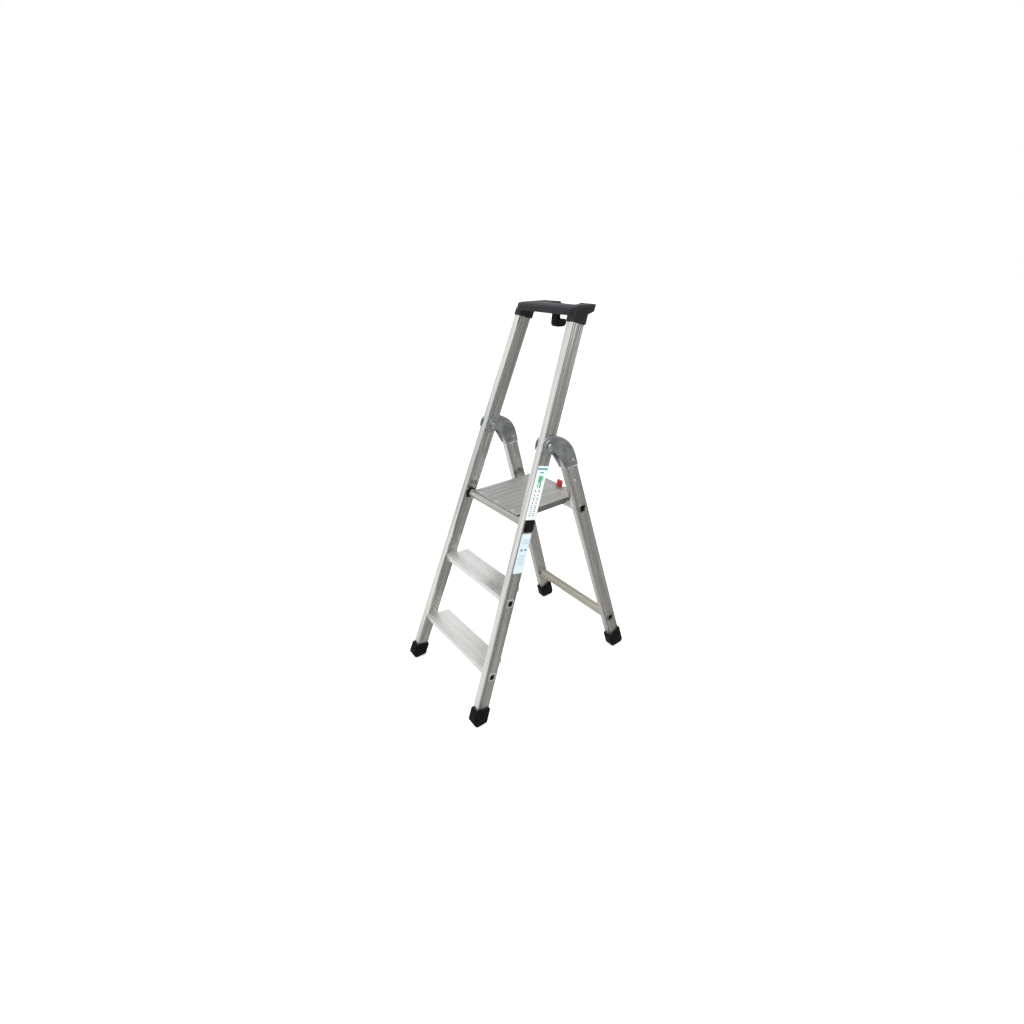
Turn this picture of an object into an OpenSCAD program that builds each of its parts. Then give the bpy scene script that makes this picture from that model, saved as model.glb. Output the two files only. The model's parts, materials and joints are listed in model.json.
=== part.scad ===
// Folding household step ladder: two treads, a standing platform and a tool tray.
// +X is the climber's right, +Y is the back, +Z is up. The floor is z = 0. Millimetres and degrees.

/* [Heights] */
// Height of the standing platform above the floor
platform_height = 691; // [660:1:720]
// Height from one tread to the next
step_rise = 250; // [240:1:258]
// Length of the front stiles, from the floor line to the tray
front_length = 1322; // [1290:1:1360]

/* [Front stiles] */
// Lean of the front stiles from the vertical
front_lean = 14; // [13:0.5:15]
// Inward lean of each front stile
front_taper = 3.15; // [2.8:0.05:3.4]
// Half of the width over the front stiles at the floor
front_half = 180; // [176:1:190]
// Depth of a front stile, front to back
front_depth = 50; // [48:1:52]
// Thickness of every stile, side to side
stile_width = 20; // [19:0.5:22]
// Wall of the stiles and tubes
wall = 2; // [1.5:0.1:2.2]

/* [Rear stiles] */
// Lean of the rear stiles from the vertical
rear_lean = 24.4; // [23.5:0.1:25]
// Inward lean of each rear stile
rear_taper = 2.9; // [2.7:0.05:3.1]
// Depth of a rear stile, front to back
rear_depth = 48; // [46:1:50]
// Distance from the pivot to the front face of the rear stiles
rear_offset = 40.3; // [39:0.1:43]
// Distance down the rear stile from the pivot to its top end
rear_top = 122; // [118:1:126]

/* [Hinge] */
// Distance of the pivot up the front stile
pivot_up = 949; // [940:1:956]
// Diameter of the pivot bolts
pivot_d = 8; // [7:0.5:9]
// Radius of a bracket's eye round the pivot
eye_r = 30; // [29:0.5:31]
// Thickness of the bracket's plate
plate_t = 2.5; // [2:0.1:3]
// Gap between the bracket and the front stile
cheek_gap = 1.5; // [1.4:0.1:1.8]

/* [Treads] */
// Depth of a tread, front to back
tread_depth = 90; // [84:1:92]
// Side of the square tube below a tread
tread_tube = 22; // [20:1:24]

/* [Platform] */
// Depth of the deck, front to back
deck_depth = 285; // [280:1:290]
// Half of the deck's width
deck_half = 98; // [94:0.5:98]
// Diameter of the tube that the deck turns on
deck_tube_d = 28; // [25:0.5:28]
// Side of the square rear crossbars
bar = 26; // [24:0.5:27]

/* [Tool tray] */
// Depth of the tray, front to back
tray_depth = 100; // [98:1:104]
// Height of the tray's body
tray_height = 28; // [26:1:30]
// Half of the tray's width
tray_half = 110; // [110:0.5:113]

/* [Hidden] */
$fn = 48;
BIG = 2000;
fit = 0.05;

// Side view of the front stile: [y, z] at a distance s up the stile and d back from its front face
function front_yz(s, d) = [
    s * sin(front_lean) + d * cos(front_lean) - middle_y,
    s * cos(front_lean) - d * sin(front_lean)
];

// Back edge of the rear shoes before centring, used to place the origin under the middle
shoe_wall = 6;
heel_cut = 12;
rear_reach = pivot_up * sin(front_lean) + front_depth / 2 * cos(front_lean)
    + (pivot_up * cos(front_lean) - front_depth / 2 * sin(front_lean)) * tan(rear_lean)
    + (rear_offset + rear_depth + shoe_wall) / cos(rear_lean) - heel_cut;
middle_y = (rear_reach - 0.2) / 2;

pivot_y = front_yz(pivot_up, front_depth / 2)[0];
pivot_z = front_yz(pivot_up, front_depth / 2)[1];
pivot_half = front_half - pivot_up * tan(front_taper) * cos(front_taper);

// Treads, the deck's tube and its bushes
rim = 1.6;
bush = 33;
tube_drop = 19.2;
tube_back = 28.3;
lower_top = platform_height - 2 * step_rise;
middle_top = platform_height - step_rise;
function tube_y(z) = z * tan(front_lean) + tube_back / cos(front_lean) - middle_y;
deck_tube_z = platform_height - 19.5;
deck_tube_y = tube_y(deck_tube_z);
deck_front = deck_tube_y - 6;
deck_back = deck_front + deck_depth;
bushing_up = deck_tube_z * cos(front_lean) + (deck_tube_y + middle_y) * sin(front_lean);
bushing_half = front_half - bushing_up * tan(front_taper) - stile_width;

// Rear crossbars, measured down the rear stile from the pivot
upper_bar_down = 303.8;
lower_bar_down = 868.7;
bar_back = rear_offset + rear_depth / 2;
function bar_y(down) = pivot_y + bar_back * cos(rear_lean) + down * sin(rear_lean);
function bar_z(down) = pivot_z + bar_back * sin(rear_lean) - down * cos(rear_lean);
upper_bar_y = bar_y(upper_bar_down);
upper_bar_z = bar_z(upper_bar_down);

// Shoes
stile_end = 24;
front_shoe_top = 64;
rear_shoe_top = 72;
rear_foot = (pivot_z + (rear_offset + rear_depth / 2) * sin(rear_lean)) / cos(rear_lean);

// Tray
tray_z = 1281;
tray_y = front_yz(1290, -3)[0];
sleeve_low = 1306;
hook_y = tray_y + 56;
hook_w = 17;

// Catch
catch_x = 27;
catch_w = 18;
catch_y = upper_bar_y + bar / 2 + 12;
catch_z = upper_bar_z + 6;

// A set of points on an arc, and a curve through one control point
function on_circle(a) = [cos(a), sin(a)];
function arc(c, r, a0, a1, n) = [
    for (i = [0:n]) c + r * on_circle(a0 + (a1 - a0) * i / n)
];
function bend(p, q, r, n) = [
    for (i = [0:n]) let (t = i / n) (1 - t) * (1 - t) * p + 2 * t * (1 - t) * q + t * t * r
];

// Outline of a rectangle with round corners, centred
function round_rect(w, h, r, n = 6) = concat(
    arc([w / 2 - r, h / 2 - r], r, 0, 90, n),
    arc([-w / 2 + r, h / 2 - r], r, 90, 180, n),
    arc([-w / 2 + r, -h / 2 + r], r, 180, 270, n),
    arc([w / 2 - r, -h / 2 + r], r, 270, 360, n)
);

module left() {
    mirror([1, 0, 0]) children();
}

module each_side() {
    children();
    left() children();
}

// Local frame of a front stile: x = 0 is the outer face, y goes back, z goes up the stile
module on_front() {
    translate([front_half, -middle_y, 0])
        rotate([-front_lean, 0, 0])
            rotate([0, -front_taper, 0])
                children();
}

// Local frame of a rear stile, with its origin at the pivot: x = 0 is the outer face
module on_rear() {
    translate([pivot_half, pivot_y, pivot_z])
        rotate([rear_lean, 0, 0])
            rotate([0, -rear_taper, 0])
                children();
}

// Turns a drawing of [y, z] into a solid that starts at x and is w wide
module side_plate(x, w) {
    translate([x, 0, 0])
        rotate([90, 0, 90])
            linear_extrude(height = w)
                children();
}

// Round rod along X
module rod_x(x0, x1, y, z, d) {
    translate([x0, y, z])
        rotate([0, 90, 0])
            cylinder(h = x1 - x0, d = d);
}

module tube_profile(size, r = 3) {
    polygon(round_rect(size, size, r));
}

// Square bar along X with round corners, turned in the side view by tilt
module square_bar(x0, x1, y, z, size, tilt = 0, r = 3) {
    translate([0, y, z])
        rotate([tilt, 0, 0])
            side_plate(x0, x1 - x0)
                tube_profile(size, r);
}

module floor_cut() {
    translate([-BIG / 2, -BIG / 2, -100])
        cube([BIG, BIG, 100]);
}

// Hollow section with fine grooves along its outer face
module stile_section(depth) {
    difference() {
        translate([-stile_width, 0])
            square([stile_width, depth]);
        translate([-stile_width + wall, wall])
            square([stile_width - 2 * wall, depth - 2 * wall]);
        for (y = [6, depth / 2 - 9, depth / 2 + 8, depth - 7])
            translate([-0.5, y])
                square([1, 1]);
    }
}

/* ---- Front frame ---- */

module pivot_hole(d, x0 = 60, x1 = 200) {
    rod_x(x0, x1, pivot_y, pivot_z, d);
}

module tread_tube_cut(top, size) {
    z = top - tube_drop;
    square_bar(-BIG / 4, BIG / 4, tube_y(z), z, size, -front_lean);
}

module front_stile() {
    difference() {
        on_front()
            translate([0, 0, stile_end])
                linear_extrude(height = front_length - stile_end)
                    stile_section(front_depth);
        tread_tube_cut(lower_top, tread_tube + 0.2);
        tread_tube_cut(middle_top, tread_tube + 0.2);
        on_front()
            translate([-stile_width - 1, tube_back, bushing_up])
                side_plate(0, stile_width + 2)
                    polygon(round_rect(bush + 0.2, bush + 0.2, 5));
        pivot_hole(pivot_d + 2 * fit);
        tray_screw_set(3.2 + 2 * fit, 3.2);
    }
}

module front_stile_right() {
    color("silver") front_stile();
}

module front_stile_left() {
    color("silver") left() front_stile();
}

// Everything outside a plane parallel to the outer face of each front stile
module beyond_front(x, y0 = -BIG / 2) {
    each_side()
        on_front()
            translate([x, y0, -BIG / 2])
                cube([BIG, BIG, BIG]);
}

// Flared rim of a square tube, a thin frame on the outer face of each front stile
module front_rims(y, z, size) {
    each_side()
        intersection() {
            square_bar(0, BIG / 4, y, z, size + 6, -front_lean, 5);
            on_front()
                translate([0, -BIG / 4, 0])
                    cube([rim, BIG / 2, BIG]);
        }
}

// Side view of the tread's plate with a rounded front lip and a rear lip
module tread_plate_section() {
    difference() {
        union() {
            translate([0, -3])
                square([tread_depth, 3]);
            translate([0, -13])
                square([3, 12]);
            translate([tread_depth - 3, -20])
                square([3, 19]);
            translate([0, -13])
                square([8, 2]);
            translate([tread_depth - 9, -20])
                square([8, 2]);
        }
        for (i = [0:7])
            translate([6 + i * 10.6, -0.7])
                square([1.6, 1]);
        translate([-0.5, -7.5])
            square([1.2, 2]);
    }
}

module tread(top) {
    z = top - tube_drop;
    y = tube_y(z);
    front = top * tan(front_lean) + 4 - middle_y;
    difference() {
        union() {
            difference() {
                translate([0, front, top])
                    side_plate(-BIG / 8, BIG / 4)
                        tread_plate_section();
                beyond_front(-stile_width);
                // The part behind the stiles is narrower, so that the rear legs fold past
                beyond_front(-stile_width - 9, front_depth + 1);
            }
            difference() {
                square_bar(-BIG / 8, BIG / 8, y, z, tread_tube, -front_lean);
                beyond_front(rim);
            }
            // Webs that join the tube to the plate
            difference() {
                for (dy = [-8, 6])
                    translate([-BIG / 8, y + dy, z + 7])
                        cube([BIG / 4, 2.4, top - z - 8]);
                beyond_front(-stile_width);
            }
            front_rims(y, z, tread_tube);
        }
        square_bar(-BIG / 4, BIG / 4, y, z, tread_tube - 2 * wall, -front_lean, 2);
    }
}

module lower_tread() {
    color("lightgray") tread(lower_top);
}

module middle_tread() {
    color("lightgray") tread(middle_top);
}

// Bush: a plug through the stile, a collar inside, and a blind bore for the deck's tube
module platform_bushing() {
    difference() {
        union() {
            on_front()
                translate([-stile_width - 1, tube_back, bushing_up]) {
                    side_plate(0, stile_width + 1.5)
                        polygon(round_rect(bush, bush, 5));
                    side_plate(stile_width + 1.05, 2)
                        polygon(round_rect(40, 38, 7));
                }
            difference() {
                rod_x(bushing_half - 6, bushing_half + 3, deck_tube_y, deck_tube_z, deck_tube_d + 4);
                beyond_front(-stile_width - fit);
            }
        }
        rod_x(deck_half, bushing_half + stile_width - 3,
            deck_tube_y, deck_tube_z, deck_tube_d + 2 * fit);
    }
}

module platform_bushing_right() {
    color("black") platform_bushing();
}

module platform_bushing_left() {
    color("black") left() platform_bushing();
}

// Outlines of the soles: a raised toe, a flat middle on the floor and a rounded heel
function front_sole(a0, a1) = concat(
    [[a0 - 200, 300]],
    bend([a0 + 6, 24], [a0 + 9, 9], [a0 + 27, 2.5], 7),
    [[a0 + 39, 0], [a1 - 9, 0]],
    bend([a1 - 6, 0.3], [a1 + 1, 1], [a1 + 3, 12], 5),
    [[a1 + 200, 300]]
);
function rear_sole(a0, a1) = concat(
    [[a0 - 200, 300]],
    bend([a0 - 6, 13], [a0 - 3, 1], [a0 + 14, 0], 6),
    bend([a1 - 24, 0], [a1 - heel_cut - 1, 1], [a1 - heel_cut, 18], 6),
    [[a1 - heel_cut, 40], [a1 + 200, 300]]
);
function side_sole(x1, r) = concat(
    [[x1 - stile_width - 2 * shoe_wall - 40, 300]],
    bend([x1 - stile_width - 2 * shoe_wall - 1, r], [x1 - stile_width - 2 * shoe_wall, 0],
        [x1 - stile_width - 2 * shoe_wall + r, 0], 5),
    bend([x1 - r, 0], [x1, 0], [x1 + 1, r], 5),
    [[x1 + 40, 300]]
);

// Keeps what stands on a sole with this outline; x1 is the outer face at the floor
module sole(outline, x1, r) {
    intersection() {
        children();
        side_plate(0, BIG / 4)
            polygon(outline);
        translate([0, BIG / 2, 0])
            rotate([90, 0, 0])
                linear_extrude(height = BIG)
                    polygon(side_sole(x1, r));
    }
}

// Grooves across a sole
module sole_grooves(y0) {
    for (i = [0:1])
        translate([0, y0 + 12 * i, -1])
            cube([BIG, 3, 2.6]);
}

module shoe_sleeve(depth, low, high) {
    translate([-stile_width / 2, depth / 2, low])
        linear_extrude(height = high - low)
            polygon(round_rect(stile_width + 2 * shoe_wall, depth + 2 * shoe_wall, 6));
}

// Rubber shoe on a stile: a sleeve closed below, with a rounded sole
module front_shoe() {
    difference() {
        sole(front_sole(-shoe_wall / cos(front_lean) - middle_y,
            (front_depth + shoe_wall) / cos(front_lean) - middle_y), front_half + shoe_wall, 9)
            on_front()
                shoe_sleeve(front_depth, -20, front_shoe_top);
        on_front()
            translate([-stile_width - fit, -fit, stile_end - fit])
                cube([stile_width + 2 * fit, front_depth + 2 * fit, 100]);
        sole_grooves(35 - middle_y);
    }
}

module front_shoe_right() {
    color([0.1, 0.1, 0.1]) front_shoe();
}

module front_shoe_left() {
    color([0.1, 0.1, 0.1]) left() front_shoe();
}

// Tray: outline from above, leaning back with the stiles
module tray_outline() {
    translate([0, tray_y + tray_depth / 2, tray_z])
        rotate([-front_lean, 0, 0])
            translate([0, 0, -30])
                linear_extrude(height = 90)
                    polygon(round_rect(2 * tray_half, tray_depth * cos(front_lean), 20, 8));
}

// Tray from the side: a rounded front, a crowned top and a thinner back
function tray_side() = concat(
    [[-10, 0], [-10, 14]],
    bend([4, 14], [6, 24], [32, tray_height - 1], 6),
    [[60, tray_height], [tray_depth - 20, tray_height]],
    bend([tray_depth - 8, tray_height - 0.5], [tray_depth + 2, tray_height - 1], [tray_depth + 3, 20], 5),
    bend([tray_depth + 1, 12], [tray_depth - 1, 8.5], [tray_depth - 7, 8], 4),
    [[62, 0]]
);

// Tray from the front: ends that lean in with the stiles and round over at the top
function tray_front() = concat(
    [[-tray_half, 0], [-tray_half + 0.5, 12]],
    bend([-tray_half + 1, 13], [-tray_half + 5, 24], [-tray_half + 30, tray_height - 2.6], 6),
    [[0, tray_height - 0.8], [tray_half - 14, tray_height]],
    bend([tray_half - 12, tray_height], [tray_half - 2, tray_height - 1], [tray_half - 1, 17], 5),
    [[tray_half, 0]]
);

function tray_dip() = concat(
    [[-34, 12], [-34, 0]],
    bend([-30, -0.5], [-20, -8], [2, -8], 6),
    bend([22, -8], [46, -8], [58, -0.5], 6),
    [[62, 0], [62, 12]]
);

// Hollow from the top of the tray down, given by its sides and its front and back
module tray_pan(x0, x1, y0, y1, deep) {
    translate([(x0 + x1) / 2, tray_y + (y0 + y1) / 2, tray_z + tray_height - deep])
        linear_extrude(height = deep + 10)
            polygon(round_rect(x1 - x0, y1 - y0, 5));
}

module tray_body() {
    intersection() {
        tray_outline();
        translate([0, tray_y, tray_z])
            side_plate(-BIG / 2, BIG)
                polygon(tray_side());
        translate([0, BIG / 2, tray_z])
            rotate([90, 0, 0])
                linear_extrude(height = BIG)
                    polygon(tray_front());
    }
}

module stile_pocket() {
    on_front()
        translate([-stile_width - fit, -fit, 1200])
            cube([stile_width + 2 * fit, front_depth + 2 * fit, front_length + fit - 1200]);
}

// Sleeve over the top of a front stile
module tray_sleeve() {
    difference() {
        on_front()
            translate([-stile_width - 3, -2, sleeve_low])
                cube([stile_width + 5, front_depth + 6, 50]);
        translate([0, -BIG / 2, tray_z + 6])
            cube([BIG, BIG, BIG]);
    }
}

module tool_tray() {
    color([0.25, 0.25, 0.25])
        difference() {
            union() {
                tray_body();
                each_side()
                    tray_sleeve();
            }
            each_side()
                stile_pocket();
            tray_pan(-12, 84, 34, tray_depth - 6, 18);
            tray_pan(-84, -22, tray_depth - 32, tray_depth - 6, 14);
            // Long slot and two holes for tools
            tray_pan(-82, -24, 30, 42, 2 * tray_height);
            for (x = [-72, -34])
                translate([x, tray_y + 55, tray_z - 1])
                    cylinder(h = tray_height + 5, d = 12);
            // Dip in the back rim
            translate([0, tray_y + tray_depth + 12, tray_z + tray_height])
                rotate([90, 0, 0])
                    linear_extrude(height = 20)
                        polygon(tray_dip());
            // Socket for the hook's tongue
            translate([-6 - fit, hook_y + 0.5 - fit, tray_z - 1])
                cube([12 + 2 * fit, 15 + 2 * fit, 4]);
            tray_screw_set(3.2 + 2 * fit, 7.2);
        }
}

// Hook under the tray: a flat J with a round tip
module bucket_hook() {
    bottom = tray_z - 46;
    color([0.08, 0.08, 0.08])
        difference() {
            union() {
                side_plate(-hook_w / 2, hook_w)
                    polygon(concat(
                        [[hook_y, tray_z]],
                        arc([hook_y + 15, bottom + 15], 15, 180, 270, 8),
                        arc([hook_y + 37, bottom + 11.5], 11.5, 270, 450, 12),
                        [[hook_y + 29, bottom + 21]],
                        [[hook_y + 20, bottom + 24], [hook_y + 18, bottom + 30], [hook_y + 18, tray_z]]
                    ));
                translate([-6, hook_y + 0.5, tray_z - 1])
                    cube([12, 15, 3.8]);
            }
            each_side()
                side_plate(hook_w / 2 - 2, 3)
                    translate([hook_y + 4, bottom + 18])
                        square([10, tray_z - bottom - 22]);
        }
}

// Screws through the inner wall of the sleeves into the stiles
module tray_screw_set(d, head) {
    each_side()
        on_front()
            for (y = [12, front_depth - 12])
                translate([-stile_width - 6, y, front_length - 12])
                    rotate([0, 90, 0]) {
                        cylinder(h = 9.5, d = d);
                        cylinder(h = 2.9, d = head);
                    }
}

module tray_screws() {
    color("gray") tray_screw_set(3.2, 7);
}

// Stickers on the outer face of the right front stile
module label(s0, s1, d0, d1) {
    on_front()
        translate([0, (d0 + d1) / 2, (s0 + s1) / 2])
            side_plate(0.02, 0.35)
                polygon(round_rect(d1 - d0, s1 - s0, 3));
}

module upper_label() {
    color("aliceblue") label(bushing_up + 21, bushing_up + 190, 3, front_depth - 2);
}

module lower_label() {
    color("lightblue") label(bushing_up - 154, bushing_up - 24, 6, front_depth - 2);
}

cheek_out = pivot_half + cheek_gap + plate_t;
cheek_in = pivot_half - stile_width - cheek_gap - plate_t;

module pivot_bolts() {
    color("silver")
        each_side() {
            pivot_hole(pivot_d, cheek_in - 5, cheek_out + 1.5);
            translate([cheek_out + 0.8, pivot_y, pivot_z])
                rotate([0, 90, 0])
                    cylinder(h = 4.5, d1 = 17, d2 = 11);
        }
}

module pivot_sleeves() {
    color("gray")
        each_side()
            intersection() {
                difference() {
                    pivot_hole(pivot_d + 6);
                    pivot_hole(pivot_d + 2 * fit);
                }
                on_front()
                    translate([-stile_width + wall, 0, 0])
                        cube([stile_width - 2 * wall, front_depth, front_length]);
            }
}

module pivot_nuts() {
    color("gray")
        each_side()
            difference() {
                translate([cheek_in - 4.5, pivot_y, pivot_z])
                    rotate([0, 90, 0])
                        cylinder(h = 4, d = 15, $fn = 6);
                pivot_hole(pivot_d + 2 * fit);
            }
}

module hinge_washers() {
    color("white")
        each_side()
            difference() {
                on_front()
                    translate([0, front_depth / 2, pivot_up])
                        rotate([0, 90, 0])
                            for (x = [0, -stile_width - 0.9])
                                translate([0, 0, x])
                                    cylinder(h = 0.9, d = 22);
                pivot_hole(pivot_d + 2 * fit);
            }
}

/* ---- Rear frame ---- */

module rear_bar_cut(down, size) {
    square_bar(-BIG / 4, BIG / 4, bar_y(down), bar_z(down), size);
}

module rear_rivet(y, down, x0, x1, d) {
    on_rear()
        rod_x(x0, x1, y, -down, d);
}

rivet_y = rear_offset + rear_depth / 2;
rivet_d = 5;

module rear_stile() {
    difference() {
        on_rear()
            translate([0, rear_offset, -1012])
                linear_extrude(height = 1012 - rear_top)
                    stile_section(rear_depth);
        rear_bar_cut(upper_bar_down, bar + 0.2);
        rear_bar_cut(lower_bar_down, bar + 0.2);
        for (down = [140, 184])
            rear_rivet(rivet_y, down, -40, 20, rivet_d + 2 * fit);
    }
}

module rear_stile_right() {
    color("silver") rear_stile();
}

module rear_stile_left() {
    color("silver") left() rear_stile();
}

module crossbar(down) {
    y = bar_y(down);
    z = bar_z(down);
    difference() {
        union() {
            difference() {
                square_bar(-BIG / 8, BIG / 8, y, z, bar);
                each_side()
                    on_rear()
                        translate([rim, -BIG / 2, -BIG / 2])
                            cube([BIG, BIG, BIG]);
            }
            each_side()
                intersection() {
                    square_bar(0, BIG / 4, y, z, bar + 5, 0, 5);
                    on_rear()
                        translate([0, -BIG / 2, -BIG])
                            cube([rim, BIG, BIG]);
                }
        }
        square_bar(-BIG / 4, BIG / 4, y, z, bar - 2 * wall, 0, 2);
    }
}

module upper_crossbar() {
    color("lightgray") crossbar(upper_bar_down);
}

module lower_crossbar() {
    color("lightgray") crossbar(lower_bar_down);
}

// Side view of the bracket in the rear stile's frame: an eye, an arch and a straight end
arch_r = 137;
arch_c = [rear_offset + rear_depth - arch_r, -95];
eye_turn = atan2(-arch_c[1], -arch_c[0]);
end_front = [rear_offset - 1, -120];
end_back = [rear_offset + rear_depth, -134];

function bracket_outline() = concat(
    [end_front, end_back],
    arch_points(arch_r),
    arc([0, 0], eye_r, eye_turn + 8, 285, 24),
    bend([13, -31], [23, -44], end_front, 8)
);
function arch_points(r) = arc(arch_c, r, 0, eye_turn - 2, 14);

module bracket_web_section() {
    web_end = 46;
    web_low = -rear_top + 0.5;
    difference() {
        polygon(concat([[end_back[0], web_low]], arc(arch_c, arch_r, 0, web_end, 12), [arch_c]));
        polygon(concat(
            [[end_back[0] - plate_t, web_low - 1]],
            arc(arch_c, arch_r - plate_t, 0, web_end + 2, 12),
            [arch_c - [20, 0]]
        ));
    }
}

module hinge_bracket() {
    difference() {
        on_rear() {
            for (x = [cheek_gap, -stile_width - cheek_gap - plate_t])
                side_plate(x, plate_t)
                    polygon(bracket_outline());
            side_plate(-stile_width - cheek_gap - plate_t, stile_width + 2 * (cheek_gap + plate_t))
                bracket_web_section();
        }
        pivot_hole(pivot_d + 2 * fit);
        rear_rivet(74, 106, -40, 20, rivet_d + 2 * fit);
    }
}

module hinge_bracket_right() {
    color("slategray") hinge_bracket();
}

module hinge_bracket_left() {
    color("slategray") left() hinge_bracket();
}

// Block between the bracket's plates, with a tongue down inside the hollow rear stile
module bracket_spigot() {
    tongue_x = stile_width - 2 * wall - 2 * fit;
    tongue_y = rear_depth - 2 * wall - 2 * fit;
    difference() {
        on_rear() {
            translate([-stile_width - cheek_gap + fit, rear_offset + 1, -rear_top + fit])
                cube([stile_width + 2 * cheek_gap - 2 * fit, rear_depth - plate_t - 2, 39]);
            translate([-stile_width + wall + fit, rear_offset + wall + fit, -205])
                cube([tongue_x, tongue_y, 205.1 - rear_top]);
        }
        for (down = [140, 184])
            rear_rivet(rivet_y, down, -40, 20, rivet_d + 2 * fit);
        rear_rivet(74, 106, -40, 20, rivet_d + 2 * fit);
    }
}

module bracket_spigot_right() {
    color("gray") bracket_spigot();
}

module bracket_spigot_left() {
    color("gray") left() bracket_spigot();
}

// A rivet along the local x axis: shank and two domed heads
module rivet(y, down, x0, x1) {
    on_rear()
        translate([0, y, -down])
            rotate([0, 90, 0]) {
                translate([0, 0, x0])
                    cylinder(h = x1 - x0, d = rivet_d);
                translate([0, 0, x1])
                    cylinder(h = 1.8, d1 = 9.5, d2 = 6);
                translate([0, 0, x0 - 1.8])
                    cylinder(h = 1.8, d1 = 6, d2 = 9.5);
            }
}

module bracket_rivets() {
    color("lightgray")
        each_side() {
            rivet(74, 106, -stile_width - cheek_gap - plate_t, cheek_gap + plate_t);
            rivet(rivet_y, 140, -stile_width, 0);
            rivet(rivet_y, 184, -stile_width, 0);
        }
}

function rear_floor_y(d) = pivot_y + pivot_z * tan(rear_lean) + d / cos(rear_lean);

module rear_shoe() {
    difference() {
        sole(rear_sole(rear_floor_y(rear_offset - shoe_wall),
            rear_floor_y(rear_offset + rear_depth + shoe_wall)),
            pivot_half + rear_foot * sin(rear_taper) + shoe_wall, 10)
            on_rear()
                translate([0, rear_offset, -rear_foot])
                    shoe_sleeve(rear_depth, -40, rear_shoe_top);
        on_rear()
            translate([-stile_width - fit, rear_offset - fit, -1012 - fit])
                cube([stile_width + 2 * fit, rear_depth + 2 * fit, 100]);
        sole_grooves(rear_floor_y(rear_offset + rear_depth / 2) - 13.5);
    }
}

module rear_shoe_right() {
    color([0.1, 0.1, 0.1]) rear_shoe();
}

module rear_shoe_left() {
    color([0.1, 0.1, 0.1]) left() rear_shoe();
}

/* ---- Platform ---- */

deck_t = 2;
flange = 20;
flange_end = upper_bar_y - bar / 2 - 4;

module deck_slot() {
    translate([catch_x - catch_w / 2 - 1, catch_y - 7, 0])
        cube([catch_w + 2, 60, BIG]);
}

module deck_panel() {
    color("darkgray")
        difference() {
            union() {
                translate([-deck_half, deck_front, platform_height - deck_t])
                    cube([2 * deck_half, deck_depth, deck_t]);
                // Front lip over the tube
                translate([-deck_half, deck_front - deck_t, platform_height - 9])
                    cube([2 * deck_half, deck_t + 0.5, 9]);
                for (x = [-deck_half, deck_half - deck_t])
                    side_plate(x, deck_t)
                        polygon([
                            [deck_front, platform_height - 0.5],
                            [deck_front, platform_height - flange],
                            [flange_end - 14, platform_height - flange],
                            [flange_end + 2, platform_height - 11],
                            [deck_back, platform_height - 11],
                            [deck_back, platform_height - 0.5]
                        ]);
                // Saddle between the deck and the tube
                translate([-deck_half, deck_tube_y - 6, deck_tube_z + 10])
                    cube([2 * deck_half, 14, platform_height - deck_tube_z - 11]);
            }
            deck_slot();
            for (x = [-80:20:80])
                translate([x - 0.75, deck_front + 18, platform_height - 0.5])
                    cube([1.5, deck_depth - 66, 1]);
            rod_x(-BIG, BIG, deck_tube_y, deck_tube_z, deck_tube_d + 2 * fit);
            deck_rivet_set(fit);
        }
}

module deck_front_tube() {
    reach = bushing_half + stile_width - 4;
    color("lightgray")
        difference() {
            rod_x(-reach, reach, deck_tube_y, deck_tube_z, deck_tube_d);
            rod_x(-BIG, BIG, deck_tube_y, deck_tube_z, deck_tube_d - 2 * wall);
            deck_rivet_set(fit);
        }
}

// Profile under the deck's back edge: a pad over the crossbar and a leg behind it
module deck_rear_hook() {
    over = upper_bar_z + bar / 2 + 0.4;
    behind = upper_bar_y + bar / 2 + 0.6;
    below = platform_height - deck_t;
    low = upper_bar_z - 8;
    half = deck_half - deck_t - 0.2;
    color("darkgray")
        difference() {
            side_plate(-half, 2 * half)
                difference() {
                    polygon([
                        [flange_end + 3, below], [flange_end + 3, over + 2], [flange_end + 6, over],
                        [behind, over], [behind, low], [deck_back, low], [deck_back, below]
                    ]);
                    translate([behind + 2, low + 2])
                        square([deck_back - behind - 4, below - low - 4]);
                    translate([flange_end + 9, over + 2])
                        square([behind - flange_end - 12, below - over - 4]);
                }
            translate([catch_x - catch_w / 2 - 1, behind - 1, low - 1])
                cube([catch_w + 2, 60, 100]);
            rod_x(catch_x - 40, catch_x + 40, catch_y, catch_z, 4 + 2 * fit);
            deck_rivet_set(fit);
        }
}

// Countersunk rivets: shanks from a height z0, with heads flush with the deck
module deck_rivet(x, y, z0, gap) {
    translate([x, y, z0])
        cylinder(h = platform_height - z0 + 0.01, d = 4 + 2 * gap);
    translate([x, y, platform_height - 1.5])
        cylinder(h = 1.5 + 0.01, d1 = 4 + 2 * gap, d2 = 8 + 2 * gap);
}

module deck_rivet_set(gap = 0) {
    for (x = [-70, 0, 70])
        deck_rivet(x, deck_tube_y, deck_tube_z + 6, gap);
    for (x = [-80, -25, 65])
        deck_rivet(x, upper_bar_y - 5, platform_height - 6, gap);
}

module deck_rivets() {
    color("silver")
        difference() {
            deck_rivet_set();
            translate([-BIG / 2, -BIG / 2, platform_height - 0.02])
                cube([BIG, BIG, 1]);
        }
}

module catch_pin() {
    color("silver")
        rod_x(catch_x - 18, catch_x + 18, catch_y, catch_z, 4);
}

// Red lever: upright thumb plate, hub, and a nose that swings under the crossbar
nose_swing = 30;
function turned(p) = [
    p[0] * cos(nose_swing) - p[1] * sin(nose_swing),
    p[0] * sin(nose_swing) + p[1] * cos(nose_swing)
];

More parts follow.
